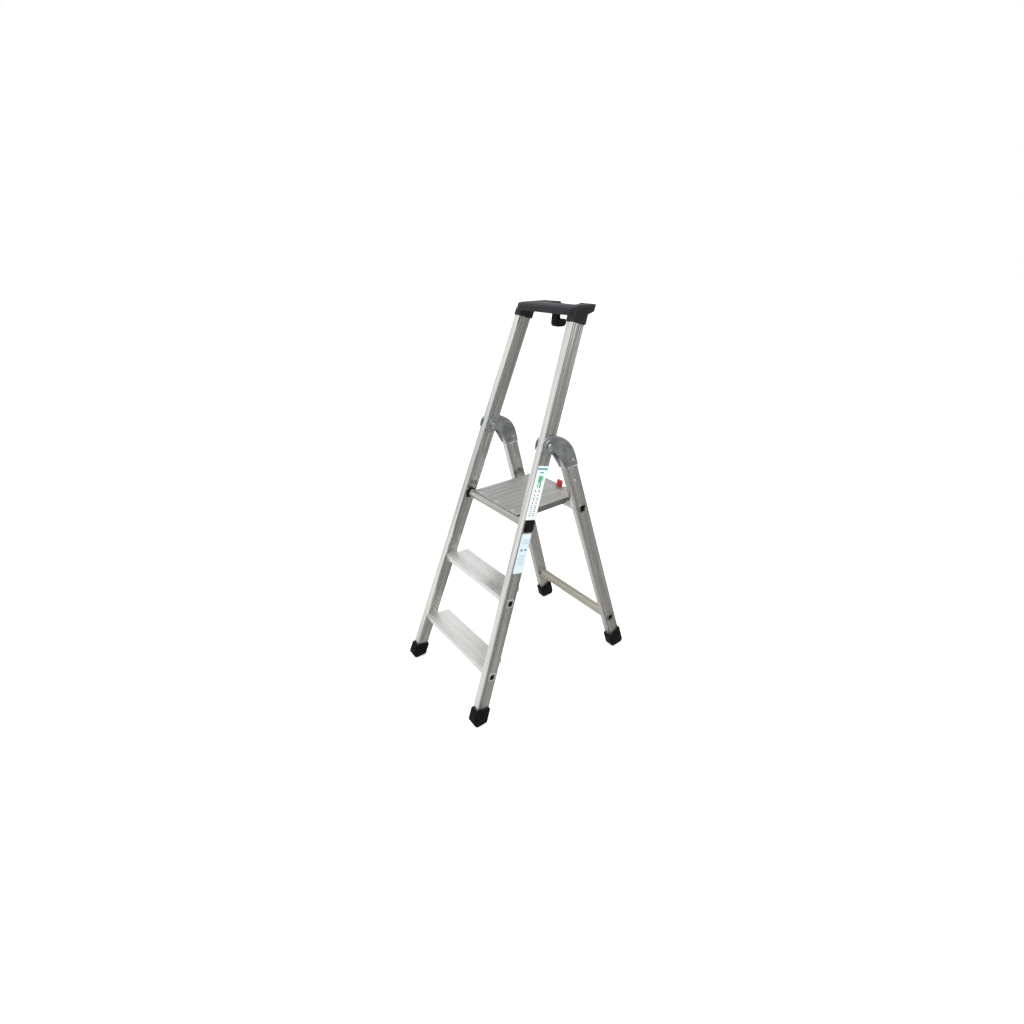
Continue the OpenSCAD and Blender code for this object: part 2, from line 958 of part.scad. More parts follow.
module catch_lever() {
    nose_top = -(catch_z - (upper_bar_z - bar / 2)) - 0.6;
    thumb = platform_height - catch_z + 18;
    nose = [
        [3, -3], [-3.5, -2], [-6, nose_top + 6], [-10.5, nose_top],
        [-21, nose_top], [-22, nose_top - 3], [-16, nose_top - 8], [-4, nose_top - 4]
    ];
    color("crimson")
        difference() {
            translate([0, catch_y, catch_z])
                side_plate(catch_x - catch_w / 2, catch_w) {
                    polygon([
                        [-4, 0], [4, 0], [4.5, thumb], [2, thumb + 5], [-2, thumb + 5], [-4.5, thumb]
                    ]);
                    circle(d = 11);
                    polygon([for (p = nose) turned(p)]);
                }
            rod_x(-BIG, BIG, catch_y, catch_z, 4 + 2 * fit);
        }
}

front_stile_right();
front_stile_left();
lower_tread();
middle_tread();
platform_bushing_right();
platform_bushing_left();
front_shoe_right();
front_shoe_left();
tool_tray();
bucket_hook();
tray_screws();
upper_label();
lower_label();
pivot_bolts();
pivot_sleeves();
pivot_nuts();
hinge_washers();
rear_stile_right();
rear_stile_left();
upper_crossbar();
lower_crossbar();
hinge_bracket_right();
hinge_bracket_left();
bracket_spigot_right();
bracket_spigot_left();
bracket_rivets();
rear_shoe_right();
rear_shoe_left();
deck_panel();
deck_front_tube();
deck_rear_hook();
deck_rivets();
catch_pin();
catch_lever();
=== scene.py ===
import json
import math

import bmesh
import bpy
from mathutils import Matrix, Vector


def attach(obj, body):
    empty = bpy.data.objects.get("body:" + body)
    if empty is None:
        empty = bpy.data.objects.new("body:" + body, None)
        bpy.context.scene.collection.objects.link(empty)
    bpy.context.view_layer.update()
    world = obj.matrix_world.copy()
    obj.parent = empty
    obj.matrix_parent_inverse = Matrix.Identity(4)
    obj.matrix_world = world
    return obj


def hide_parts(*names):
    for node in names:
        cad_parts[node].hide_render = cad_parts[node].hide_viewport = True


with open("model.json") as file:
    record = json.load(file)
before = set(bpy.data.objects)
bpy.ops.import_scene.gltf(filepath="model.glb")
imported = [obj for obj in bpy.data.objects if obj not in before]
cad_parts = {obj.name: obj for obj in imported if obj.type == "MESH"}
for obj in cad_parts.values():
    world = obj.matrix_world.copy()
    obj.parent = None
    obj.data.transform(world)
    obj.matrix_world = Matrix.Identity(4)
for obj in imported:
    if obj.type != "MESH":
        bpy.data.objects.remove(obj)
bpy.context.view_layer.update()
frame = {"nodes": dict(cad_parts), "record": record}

joints = {j["name"]: j for j in frame["record"]["behaviour"]["joints"]}

# ---------------------------------------------------------------- design sizes
# Metres and degrees, the same as in the CAD. A lean is front to back, a taper is sideways.
MM = 0.001
STILE = 0.020  # every stile's width
FRONT_LEAN, FRONT_TAPER = 14.0, 3.15
FRONT_HALF, FRONT_DEPTH = 0.180, 0.050
REAR_LEAN, REAR_TAPER = 24.4, 2.9
REAR_DEPTH, REAR_OFFSET = 0.048, 0.0403
PIVOT_UP = 0.949  # up the front stile
TREAD_TOPS = {"lower_tread": 0.191, "middle_tread": 0.441}
TREAD_DROP, TREAD_TUBE_BACK, TREAD_BORE_HALF = 0.0192, 0.0283, 0.009
BARS_DOWN = {"upper_crossbar": 0.3038, "lower_crossbar": 0.8687}  # down the rear stile
BAR_BORE_HALF = 0.011
DECK_TOP = 0.691
WASHER, BRACKET_SHEET = 0.0015, 0.0025
CHEEK = WASHER + BRACKET_SHEET  # the bracket's outer face stands this far off its stile

pivot = Vector(joints["rear_frame_fold"]["pos_m"])
pin = Vector(joints["catch_turn"]["pos_m"])
front_lean, rear_lean = math.radians(FRONT_LEAN), math.radians(REAR_LEAN)
# The CAD is centred on the floor: the stiles' front feet lie this far in front of the middle.
MIDDLE_Y = PIVOT_UP * math.sin(front_lean) + FRONT_DEPTH / 2 * math.cos(front_lean) - pivot.y
pivot_half = FRONT_HALF - PIVOT_UP * math.sin(math.radians(FRONT_TAPER))


def rot(axis, degrees):
    return Matrix.Rotation(math.radians(degrees), 4, axis)


# ---------------------------------------------------------------- camera
# It stands in front of the right stile, a little above the tray.
AZIMUTH, ELEVATION, ROLL = 59.96, 19.96, -0.34
CAMERA_X, CAMERA_Y, CAMERA_Z = 1.0116, -0.8537, 1.4364
cam_data = bpy.data.cameras.new("camera")
cam_data.sensor_width = 36
cam_data.lens = 17.07
cam_data.shift_x = 0.1372
cam_data.shift_y = -0.0768
cam_data.clip_start, cam_data.clip_end = 0.01, 100
camera = bpy.data.objects.new("camera", cam_data)
bpy.context.scene.collection.objects.link(camera)
bpy.context.scene.camera = camera
azimuth, elevation = math.radians(AZIMUTH), math.radians(ELEVATION)
backwards = Vector((
    math.sin(azimuth) * math.cos(elevation),
    -math.cos(azimuth) * math.cos(elevation),
    math.sin(elevation),
))
camera.matrix_world = (
    Matrix.Translation((CAMERA_X, CAMERA_Y - MIDDLE_Y, CAMERA_Z))
    @ backwards.to_track_quat("Z", "Y").to_matrix().to_4x4()
    @ rot("Z", ROLL)
)


# ---------------------------------------------------------------- frames of the stiles
def side_matrix(side):
    """1 for the right side, -1 to mirror it to the left."""
    return Matrix.Diagonal((side, 1, 1, 1))


def on_front(side=1):
    """From a front stile's own frame: x = 0 is its outer face, y goes back, z goes up it."""
    return (
        side_matrix(side)
        @ Matrix.Translation((FRONT_HALF, -MIDDLE_Y, 0))
        @ rot("X", -FRONT_LEAN)
        @ rot("Y", -FRONT_TAPER)
    )


def on_rear(side=1):
    """From a rear stile's own frame, with its origin at the pivot."""
    return (
        side_matrix(side)
        @ Matrix.Translation((pivot_half, pivot.y, pivot.z))
        @ rot("X", REAR_LEAN)
        @ rot("Y", -REAR_TAPER)
    )


# ---------------------------------------------------------------- material graphs
class Graph:
    """A material's node tree, or a given tree, built from constants and sockets."""

    def __init__(self, name, tree=None):
        if tree is None:
            self.mat = bpy.data.materials.new(name)
            self.mat.use_nodes = True
            tree = self.mat.node_tree
        self.t = tree
        self.t.nodes.clear()

    def feed(self, socket, value):
        if isinstance(value, bpy.types.NodeSocket):
            self.t.links.new(value, socket)
        else:
            socket.default_value = value

    def add(self, kind, inputs=None, out=0, **attrs):
        n = self.t.nodes.new(kind)
        for key, value in attrs.items():
            setattr(n, key, value)
        for key, value in (inputs or {}).items():
            self.feed(n.inputs[key], value)
        return n if out is None else n.outputs[out]

    def math(self, op, x, y=0.0, clamp=False):
        return self.add("ShaderNodeMath", {0: x, 1: y}, operation=op, use_clamp=clamp)

    def times(self, x, y):
        return self.math("MULTIPLY", x, y)

    def dot(self, x, y):
        return self.add("ShaderNodeVectorMath", {0: x, 1: y}, out=1, operation="DOT_PRODUCT")

    def ramp(self, fac, stops):
        n = self.add("ShaderNodeValToRGB", {"Fac": fac}, out=None)
        while len(n.color_ramp.elements) > 1:
            n.color_ramp.elements.remove(n.color_ramp.elements[-1])
        for i, (pos, c) in enumerate(stops):
            c = (c, c, c) if isinstance(c, (int, float)) else c
            el = n.color_ramp.elements[0] if i == 0 else n.color_ramp.elements.new(pos)
            el.position = pos
            el.color = (*c, 1)
        return n.outputs[0]

    def mix(self, fac, x, y, blend="MIX"):
        n = self.add("ShaderNodeMix", out=None, data_type="RGBA", blend_type=blend)
        for socket, value in ((n.inputs[0], fac), (n.inputs[6], x), (n.inputs[7], y)):
            self.feed(socket, (*value, 1) if isinstance(value, (tuple, list)) else value)
        return n.outputs[2]

    def place(self, tilt=(0, 0, 0), scale=(1, 1, 1)):
        """Object coordinates, turned into a stile's frame and then stretched."""
        p = self.add("ShaderNodeTexCoord", out=3)
        if any(tilt):
            angles = [math.radians(t) for t in tilt]
            p = self.add("ShaderNodeVectorRotate", {"Vector": p, "Rotation": angles},
                         rotation_type="EULER_XYZ", invert=True)
        if tuple(scale) != (1, 1, 1):
            p = self.add("ShaderNodeVectorMath", {0: p, 1: scale}, operation="MULTIPLY")
        return p

    def noise(self, vector, scale, detail=3.0, rough=0.55, w=0.0, distortion=0.0):
        ins = {"Vector": vector, "Scale": scale, "Detail": detail,
               "Roughness": rough, "W": w, "Distortion": distortion}
        return self.add("ShaderNodeTexNoise", ins, noise_dimensions="4D")

    def edges(self, radius, low, high):
        """1 along sharp edges, 0 on flat faces."""
        soft = self.add("ShaderNodeBevel", {"Radius": radius}, samples=4)
        flat = self.add("ShaderNodeNewGeometry", out=1)
        away = self.math("SUBTRACT", 1.0, self.dot(soft, flat))
        return self.ramp(away, [(low, 0.0), (high, 1.0)])

    def bump(self, height, strength, distance, normal=None):
        ins = {"Height": height, "Strength": strength, "Distance": distance}
        if normal is not None:
            ins["Normal"] = normal
        return self.add("ShaderNodeBump", ins)

    def done(self, inputs):
        s = self.add("ShaderNodeBsdfPrincipled", inputs)
        self.add("ShaderNodeOutputMaterial", {"Surface": s}, out=None)
        return self.mat


def shade(colour, factor, lift=0.0):
    """The colour made darker or lighter, no brighter than white."""
    return [min(1, c * factor + lift) for c in colour]


def aluminium(name, base, warm, tilt, along, rough=0.34, metallic=0.92, lines=1.0, seed=0.0,
              streaks=0.62):
    """Extruded or rolled aluminium: die lines along one axis, oxide, scuffs, and a painted
    highlight that lightens the edges.
    """
    g = Graph(name)

    def grain(across, lengthwise):
        return g.place(tilt, [lengthwise if axis == along else across for axis in "xyz"])

    p = g.place(tilt)
    die = g.noise(grain(520, 4), 1.0, 1.0, 0.5, seed)
    streak = g.noise(grain(85, 2.2), 1.0, 3.0, 0.6, seed + 2)
    cloud = g.noise(p, 11.0, 4.0, 0.55, seed + 4, 0.2)
    scuff = g.ramp(g.noise(grain(26, 5), 1.0, 3.0, 0.6, seed + 7), [(0.58, 0.0), (0.72, 1.0)])
    edge = g.edges(0.0018, 0.02, 0.22)
    tone = g.mix(g.ramp(cloud, [(0.3, 0.0), (0.72, 1.0)]), base, warm)
    band = g.ramp(streak, [(0.34, shade(base, 0.46)), (0.5, base), (0.65, shade(warm, 1.32))])
    tone = g.mix(streaks, tone, band)
    tone = g.mix(g.times(die, 0.14), tone, shade(base, 0.62))
    tone = g.mix(g.times(scuff, 0.2), tone, (0.86, 0.86, 0.85))
    # Painted highlight: the edges are mixed towards near white.
    tone = g.mix(g.times(edge, 0.5), tone, (0.93, 0.93, 0.92))
    r = g.math("ADD", g.times(cloud, 0.26), g.times(streak, 0.14))
    r = g.math("ADD", r, rough - 0.2)
    r = g.math("SUBTRACT", r, g.times(edge, 0.08), clamp=True)
    n = g.bump(die, 0.10 * lines, 0.0005)
    n = g.bump(cloud, 0.03, 0.002, n)
    return g.done({"Base Color": tone, "Roughness": r, "Normal": n, "Metallic": metallic})


def plastic(name, base, light, rough=0.5, grain=1400.0, bump=0.25, spec=0.45, seed=0.0, edge_wear_and_highlight=0.35,
            dust=0.12):
    """Moulded plastic or rubber: fine grain, flow marks, dust in the faces, and edges lightened
    partly by rubbed wear and partly as a painted highlight.
    """
    g = Graph(name)
    p = g.place()
    fine = g.noise(p, grain, 2.0, 0.6, seed)
    flow = g.noise(g.place(scale=(1, 1, 3)), 26.0, 4.0, 0.6, seed + 3, 0.8)
    mark = g.ramp(g.noise(p, 120.0, 5.0, 0.7, seed + 5, 2.0), [(0.58, 0.0), (0.68, 1.0)])
    edge = g.edges(0.0016, 0.03, 0.3)
    tone = g.mix(g.ramp(flow, [(0.3, 0.0), (0.75, 1.0)]), base, light)
    tone = g.mix(g.times(fine, 0.3), tone, shade(base, 0.6))
    tone = g.mix(g.times(mark, dust), tone, (0.42, 0.41, 0.39))
    # Edges lightened towards white: partly rubbed wear, partly a painted highlight.
    tone = g.mix(g.times(edge, edge_wear_and_highlight), tone, shade(light, 2.2, 0.03))
    r = g.math("ADD", g.times(flow, 0.22), rough - 0.11)
    r = g.math("SUBTRACT", r, g.times(edge, 0.12), clamp=True)
    n = g.bump(fine, bump, 0.0004)
    n = g.bump(flow, 0.05, 0.002, n)
    return g.done({"Base Color": tone, "Roughness": r, "Normal": n, "Specular IOR Level": spec})


def steel(name, base, dark, rough=0.36, metallic=0.9, spangle=90.0, seed=0.0):
    """Zinc plated sheet: faint spangle, smudges and a painted highlight along its sheared edges."""
    g = Graph(name)
    p = g.place()
    cells = g.add("ShaderNodeTexVoronoi", {"Vector": p, "Scale": spangle, "Randomness": 1.0}, out=1)
    fleck = g.add("ShaderNodeSeparateColor", {"Color": cells})
    smudge = g.noise(p, 22.0, 5.0, 0.65, seed, 0.7)
    fine = g.noise(p, 900.0, 2.0, 0.6, seed + 3)
    edge = g.edges(0.0014, 0.03, 0.25)
    tone = g.mix(g.times(fleck, 0.35), base, shade(base, 1.35))
    tone = g.mix(g.ramp(smudge, [(0.38, 0.0), (0.66, 0.9)]), tone, dark)
    # Painted highlight: the edges are mixed towards white.
    tone = g.mix(g.times(edge, 0.6), tone, (0.9, 0.9, 0.9))
    r = g.math("ADD", g.times(smudge, 0.3), g.times(fleck, 0.08))
    r = g.math("ADD", r, rough - 0.18, clamp=True)
    n = g.bump(fine, 0.12, 0.0004)
    return g.done({"Base Color": tone, "Roughness": r, "Normal": n, "Metallic": metallic})


def film(name, base, light, rough=0.3, seed=0.0):
    """Printed film: slight print mottling under a clear coat, with dirty patches and ripples."""
    g = Graph(name)
    p = g.place()
    mottle = g.noise(p, 240.0, 4.0, 0.6, seed, 0.5)
    dirt = g.noise(p, 60.0, 6.0, 0.7, seed + 3, 1.2)
    ripple = g.noise(p, 35.0, 2.0, 0.5, seed + 6)
    tone = g.mix(mottle, base, light)
    tone = g.mix(g.ramp(dirt, [(0.55, 0.0), (0.8, 0.35)]), tone, shade(base, 0.6))
    r = g.math("ADD", g.times(dirt, 0.25), rough - 0.1)
    n = g.bump(ripple, 0.08, 0.001)
    return g.done({"Base Color": tone, "Roughness": r, "Normal": n,
                   "Coat Weight": 0.3, "Coat Roughness": 0.15})


def stile_aluminium(name, tilt, rough, seed):
    return aluminium("extrusion_" + name, (0.60, 0.60, 0.595), (0.65, 0.62, 0.56), tilt, "z", rough,
                     seed=seed)


FLAT = (0, 0, 0)
M = {
    "front_right": stile_aluminium("front_right", (-FRONT_LEAN, -FRONT_TAPER, 0), 0.14, 1),
    "front_left": stile_aluminium("front_left", (-FRONT_LEAN, FRONT_TAPER, 0), 0.14, 9),
    "rear_right": stile_aluminium("rear_right", (REAR_LEAN, -REAR_TAPER, 0), 0.27, 17),
    "rear_left": stile_aluminium("rear_left", (REAR_LEAN, REAR_TAPER, 0), 0.27, 23),
    "tread": aluminium("extrusion_tread", (0.75, 0.75, 0.73), (0.80, 0.795, 0.77), FLAT, "x",
                       0.32, 0.82, lines=1.4, seed=31, streaks=0.15),
    "tube": aluminium("drawn_tube", (0.50, 0.49, 0.46), (0.57, 0.54, 0.48), FLAT, "x", seed=37),
    "bar": aluminium("drawn_bar", (0.42, 0.40, 0.34), (0.52, 0.46, 0.37), FLAT, "x", seed=53),
    "deck": aluminium("rolled_sheet", (0.44, 0.44, 0.43), (0.50, 0.495, 0.48), FLAT, "y",
                      0.48, 0.86, lines=0.5, seed=41, streaks=0.16),
    # A darker copy of the deck sheet: painted shade for the faces that do not face up.
    "deck_side_shade": aluminium("deck_flange_painted_shade", (0.27, 0.27, 0.26), (0.32, 0.31, 0.30), FLAT, "y",
                           0.40, 0.9, lines=0.5, seed=43, streaks=0.3),
    # Near black aluminium: painted shade for the insides of the tubes' bores.
    "bore": aluminium("tube_bore", (0.012, 0.012, 0.012), (0.020, 0.019, 0.018), FLAT, "x",
                      0.75, 0.2, seed=47),
    "bracket": steel("zinc_sheet", (0.52, 0.54, 0.56), (0.27, 0.28, 0.30), 0.28, 0.92, 70.0,
                     seed=3),
    "zinc": steel("zinc_bolt", (0.74, 0.74, 0.73), (0.50, 0.50, 0.50), 0.26, 0.95, 260.0, seed=5),
    "screw": steel("blackened_screw", (0.05, 0.05, 0.052), (0.02, 0.02, 0.02), 0.4, 0.8, 260.0,
                   seed=15),
    "nylon": plastic("black_nylon", (0.0020, 0.0020, 0.0024), (0.005, 0.005, 0.0055), 0.45,
                     bump=0.12, spec=0.14, seed=7, edge_wear_and_highlight=0.25, dust=0.05),
    "block": plastic("grey_block", (0.36, 0.365, 0.36), (0.44, 0.445, 0.44), seed=9),
    "washer": plastic("grey_nylon", (0.35, 0.35, 0.34), (0.45, 0.45, 0.43), 0.42, seed=8),
    "tray": plastic("charcoal_plastic", (0.0085, 0.0088, 0.0108), (0.0165, 0.017, 0.0195), 0.44,
                    900.0, bump=0.30, spec=0.26, seed=11, edge_wear_and_highlight=0.55, dust=0.06),
    "rubber": plastic("black_rubber", (0.0018, 0.0018, 0.0022), (0.0045, 0.0045, 0.005), 0.6,
                      1100.0, bump=0.4, spec=0.12, seed=13, edge_wear_and_highlight=0.22, dust=0.03),
    "red": plastic("red_plastic", (0.42, 0.02, 0.035), (0.55, 0.035, 0.05), 0.32,
                   1600.0, bump=0.08, spec=0.5, seed=19, edge_wear_and_highlight=0.3, dust=0.05),
    "film": film("sticker_film", (0.72, 0.80, 0.82), (0.82, 0.88, 0.89), seed=1),
    "film_blue": film("sticker_film_blue", (0.58, 0.70, 0.78), (0.68, 0.79, 0.86), seed=2),
    "ink_teal": film("ink_teal", (0.03, 0.30, 0.34), (0.05, 0.38, 0.42), seed=3),
    "ink_green": film("ink_green", (0.05, 0.34, 0.16), (0.08, 0.42, 0.20), seed=4),
    "ink_dark": film("ink_dark", (0.02, 0.04, 0.05), (0.05, 0.07, 0.09), seed=5),
    "ink_red": film("ink_red", (0.36, 0.05, 0.10), (0.44, 0.08, 0.14), seed=6),
}
NODE_MATERIAL = {
    "front_stile_right": "front_right", "front_stile_left": "front_left",
    "rear_stile_right": "rear_right", "rear_stile_left": "rear_left",
    "lower_tread": "tread", "middle_tread": "tread",
    "tool_tray": "tray", "bucket_hook": "nylon", "tray_screws": "screw",
    "upper_label": "film", "lower_label": "film_blue",
    "pivot_bolts": "zinc", "pivot_sleeves": "zinc", "pivot_nuts": "zinc", "hinge_washers": "washer",
    "upper_crossbar": "tube", "lower_crossbar": "bar", "bracket_rivets": "zinc",
    # The rear hook gets the deck sheet's painted-shade copy.
    "deck_panel": "deck", "deck_front_tube": "tube", "deck_rear_hook": "deck_side_shade",
    "deck_rivets": "zinc", "catch_pin": "zinc", "catch_lever": "red",
}
PAIR_MATERIAL = {
    "platform_bushing": "nylon", "front_shoe": "rubber", "rear_shoe": "rubber",
    "hinge_bracket": "bracket", "bracket_spigot": "block",
}
for pair, material in PAIR_MATERIAL.items():
    for word in ("right", "left"):
        NODE_MATERIAL[pair + "_" + word] = material
node_body = {n: b for b, ns in frame["record"]["behaviour"]["bodies"].items() for n in ns}


# ---------------------------------------------------------------- pieces
def add_piece(name, bm, material, body, replaces=(), smooth=35):
    me = bpy.data.meshes.new(name)
    bm.normal_update()
    bm.to_mesh(me)
    bm.free()
    ob = bpy.data.objects.new(name, me)
    bpy.context.scene.collection.objects.link(ob)
    me.materials.append(M[material])
    for p in me.polygons:
        p.use_smooth = True
    me.set_sharp_from_angle(angle=math.radians(smooth))
    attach(ob, body)
    if replaces:
        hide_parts(*replaces)
    return ob


def outward(bm):
    bmesh.ops.recalc_face_normals(bm, faces=bm.faces)
    return bm


def repaint(ob, material, chosen):
    """Gives the faces that chosen(face) picks a second material."""
    ob.data.materials.append(M[material])
    for p in ob.data.polygons:
        if chosen(p):
            p.material_index = 1


def paint_bore(ob, centre, half, tilt):
    """Darkens the inner faces of a square tube along X as painted shade; centre is its (y, z)."""
    to_tube = rot("X", -tilt) @ Matrix.Translation((0, -centre[0], -centre[1]))
    slack = 0.4 * MM

    def inside(p):
        if abs(p.normal.x) >= 0.6:
            return False
        corners = [to_tube @ ob.data.vertices[v].co for v in p.vertices]
        return all(max(abs(q.y), abs(q.z)) < half + slack for q in corners)

    repaint(ob, "bore", inside)


def soften(node, width):
    """The node's own shape with real rounded edges."""
    src = frame["nodes"][node]
    bm = bmesh.new()
    bm.from_mesh(src.data)
    bmesh.ops.transform(bm, matrix=src.matrix_world, verts=bm.verts)
    bmesh.ops.remove_doubles(bm, verts=bm.verts, dist=1e-6)
    bmesh.ops.dissolve_limit(bm, angle_limit=math.radians(0.8), verts=bm.verts, edges=bm.edges)
    sharp = [
        ed for ed in bm.edges
        if len(ed.link_faces) == 2 and ed.calc_face_angle() > math.radians(28)
    ]
    bmesh.ops.bevel(bm, geom=sharp, offset=width, segments=2, profile=0.5, affect="EDGES",
                    clamp_overlap=True, miter_outer="ARC")
    return add_piece(node + "_rounded", bm, NODE_MATERIAL[node], node_body[node], [node])


# Width of each node's rounded edges
SOFT = {
    "front_stile_right": 0.0009, "front_stile_left": 0.0009,
    "rear_stile_right": 0.0004, "rear_stile_left": 0.0004,
    "front_shoe_right": 0.0022, "front_shoe_left": 0.0022,
    "rear_shoe_right": 0.0022, "rear_shoe_left": 0.0022,
    "tool_tray": 0.0012, "bucket_hook": 0.0012,
    "hinge_bracket_right": 0.0006, "hinge_bracket_left": 0.0006,
    "catch_lever": 0.0005,
    "platform_bushing_right": 0.0008, "platform_bushing_left": 0.0008,
    "deck_panel": 0.0002,
    "lower_tread": 0.0004, "middle_tread": 0.0004,
    "upper_crossbar": 0.0004, "lower_crossbar": 0.0004,
    "pivot_nuts": 0.0006, "hinge_washers": 0.0002, "deck_rear_hook": 0.0004,
    "bracket_spigot_right": 0.0005, "bracket_spigot_left": 0.0005,
}
for node, ob in frame["nodes"].items():
    ob.data.materials.clear()
    ob.data.materials.append(M[NODE_MATERIAL[node]])
rounded = {node: soften(node, width) for node, width in SOFT.items()}

# ---------------------------------------------------------------- second materials
for node, top in TREAD_TOPS.items():
    z = top - TREAD_DROP
    y = z * math.tan(front_lean) + TREAD_TUBE_BACK / math.cos(front_lean) - MIDDLE_Y
    paint_bore(rounded[node], (y, z), TREAD_BORE_HALF, -FRONT_LEAN)
bar_back = REAR_OFFSET + REAR_DEPTH / 2
for node, down in BARS_DOWN.items():
    y = pivot.y + bar_back * math.cos(rear_lean) + down * math.sin(rear_lean)
    z = pivot.z + bar_back * math.sin(rear_lean) - down * math.cos(rear_lean)
    paint_bore(rounded[node], (y, z), BAR_BORE_HALF, 0)
# Painted shade: every deck face that does not face up gets the darker copy of the sheet.
repaint(rounded["deck_panel"], "deck_side_shade", lambda p: p.normal.z < 0.5)


# ---------------------------------------------------------------- stickers
PRINT_LOW, PRINT_HIGH = 0.00036, 0.00042  # the print's two faces, off the stile's outer face


def round_outline(width, height, radius, steps=5):
    """A rounded rectangle about the origin, from its upper right corner round to the left."""
    points = []
    x, y = width / 2 - radius, height / 2 - radius
    for cx, cy, start in ((x, y, 0), (-x, y, 90), (-x, -y, 180), (x, -y, 270)):
        for i in range(steps + 1):
            t = math.radians(start + 90 * i / steps)
            points.append((cx + radius * math.cos(t), cy + radius * math.sin(t)))
    return points


def patch(bm, matrix, points):
    """A thin printed area: an outline in (depth, up) with a small edge of its own."""
    top = [bm.verts.new(matrix @ Vector((PRINT_HIGH, y, z))) for y, z in points]
    base = [bm.verts.new(matrix @ Vector((PRINT_LOW, y, z))) for y, z in points]
    bm.faces.new(top)
    bm.faces.new(list(reversed(base)))
    n = len(points)
    for i in range(n):
        bm.faces.new((top[i], base[i], base[(i + 1) % n], top[(i + 1) % n]))


def print_on(name, material, shapes):
    """Prints (depth, up, width, height, corner radius), all in millimetres, on the right stile."""
    bm = bmesh.new()
    for depth, up, width, height, radius in shapes:
        outline = round_outline(width / 1000, height / 1000, radius / 1000)
        patch(bm, on_front(), [(depth / 1000 + y, up / 1000 + z) for y, z in outline])
    return add_piece(name, bm, material, "front_frame")


def dots(heights):
    return [(depth, up, 6, 5, 2.2) for up in heights for depth in (17, 33)]


def rules(depth, width, heights):
    return [(depth, up, width, 0.8, 0.3) for up in heights]


print_on("upper_label_header", "ink_teal", [(25.5, 880, 44, 6, 1.2), (25.5, 869, 20, 4, 1.2)])
print_on("upper_label_green", "ink_green", [
    (25, 848, 15, 22, 1.5), (31, 828, 7, 16, 1.5), (21, 829, 5, 13, 1.5), (36, 850, 4, 16, 1.5),
])
print_on("upper_label_marks", "ink_dark",
         dots((812, 786, 760, 734)) + rules(25.5, 34, (806, 792.5, 779.5, 766.5, 753.5, 740.5)))
print_on("upper_label_dots", "ink_red", dots((799, 773, 747)))
print_on("lower_label_marks", "ink_dark", [
    (20, 622, 8, 8, 3.9),
    *rules(27, 30, (604, 598, 592, 586, 580, 574, 655, 649, 643)),
    (37, 622, 9, 5, 0.6),
])

# ---------------------------------------------------------------- brackets
# The bracket's back edge is an arc about ARCH_CENTRE, in a rear stile's (y, z).
ARCH_RADIUS = 0.137
ARCH_CENTRE = (REAR_OFFSET + REAR_DEPTH - ARCH_RADIUS, -0.095)
EYE_TURN = math.degrees(math.atan2(-ARCH_CENTRE[1], -ARCH_CENTRE[0]))
ARCH_STEPS = 22
SUNK = 0.0001  # a bead starts this far inside its plate


def on_circle(centre, radius, degrees):
    t = math.radians(degrees)
    return centre[0] + radius * math.cos(t), centre[1] + radius * math.sin(t)


def bow(start, control, end, steps):
    """A quadratic curve."""
    out = []
    for i in range(steps + 1):
        t = i / steps
        out.append(tuple(
            (1 - t) ** 2 * u + 2 * t * (1 - t) * v + t * t * w
            for u, v, w in zip(start, control, end)
        ))
    return out


def bead(bm, matrix, path, x, width, height, closed=False):
    """A half round ridge that stands on a plate at x and follows a path of (y, z)."""
    n = len(path)
    rings = []
    for i, (y, z) in enumerate(path):
        before = path[i - 1] if (i or closed) else path[i]
        after = path[(i + 1) % n] if (i < n - 1 or closed) else path[i]
        ty, tz = after[0] - before[0], after[1] - before[1]
        length = math.hypot(ty, tz)
        ny, nz = -tz / length, ty / length
        ring = []
        for k in range(7):
            t = math.pi * k / 6
            off = width / 2 * math.cos(t)
            rise = height * math.sin(t)
            ring.append(bm.verts.new(matrix @ Vector((x + rise, y + ny * off, z + nz * off))))
        rings.append(ring)
    for i in range(n if closed else n - 1):
        here, there = rings[i], rings[(i + 1) % n]
        for k in range(7):
            j = (k + 1) % 7
            bm.faces.new((here[k], here[j], there[j], there[k]))
    if not closed:
        bm.faces.new(rings[0])
        bm.faces.new(list(reversed(rings[-1])))


arch_path = [
    on_circle(ARCH_CENTRE, ARCH_RADIUS - 0.0056, 4 + i * (EYE_TURN - 8) / ARCH_STEPS)
    for i in range(ARCH_STEPS + 1)
]
inner_path = bow((0.0135, -0.0225), (0.0265, -0.040), (REAR_OFFSET + 0.0055, -0.1135), 14)
low_path = bow((REAR_OFFSET + 0.004, -0.1195), (REAR_OFFSET + 0.025, -0.1262),
               (REAR_OFFSET + REAR_DEPTH - 0.003, -0.1320), 6)
boss_path = [on_circle((0, 0), 0.0165, turn) for turn in range(0, 360, 15)]
for side, word in ((1, "right"), (-1, "left")):
    stile = on_rear(side)
    ridges, highlight_beads = bmesh.new(), bmesh.new()
    for x, h in ((CHEEK - SUNK, 0.0011), (-STILE - CHEEK + SUNK, -0.0011)):
        bead(ridges, stile, arch_path, x, 0.0060, h * 1.5)
        bead(ridges, stile, inner_path, x, 0.0034, h * 0.8)
        bead(ridges, stile, boss_path, x, 0.0052, h * 1.3, True)
        bead(highlight_beads, stile, low_path, x, 0.0052, h * 1.5)
    add_piece("bracket_ridges_" + word, outward(ridges), "bracket", "rear_frame")
    # Painted highlight: the beads along the bracket's lower end are made in the brighter zinc.
    add_piece("bracket_highlight_beads_" + word, outward(highlight_beads), "zinc", "rear_frame")


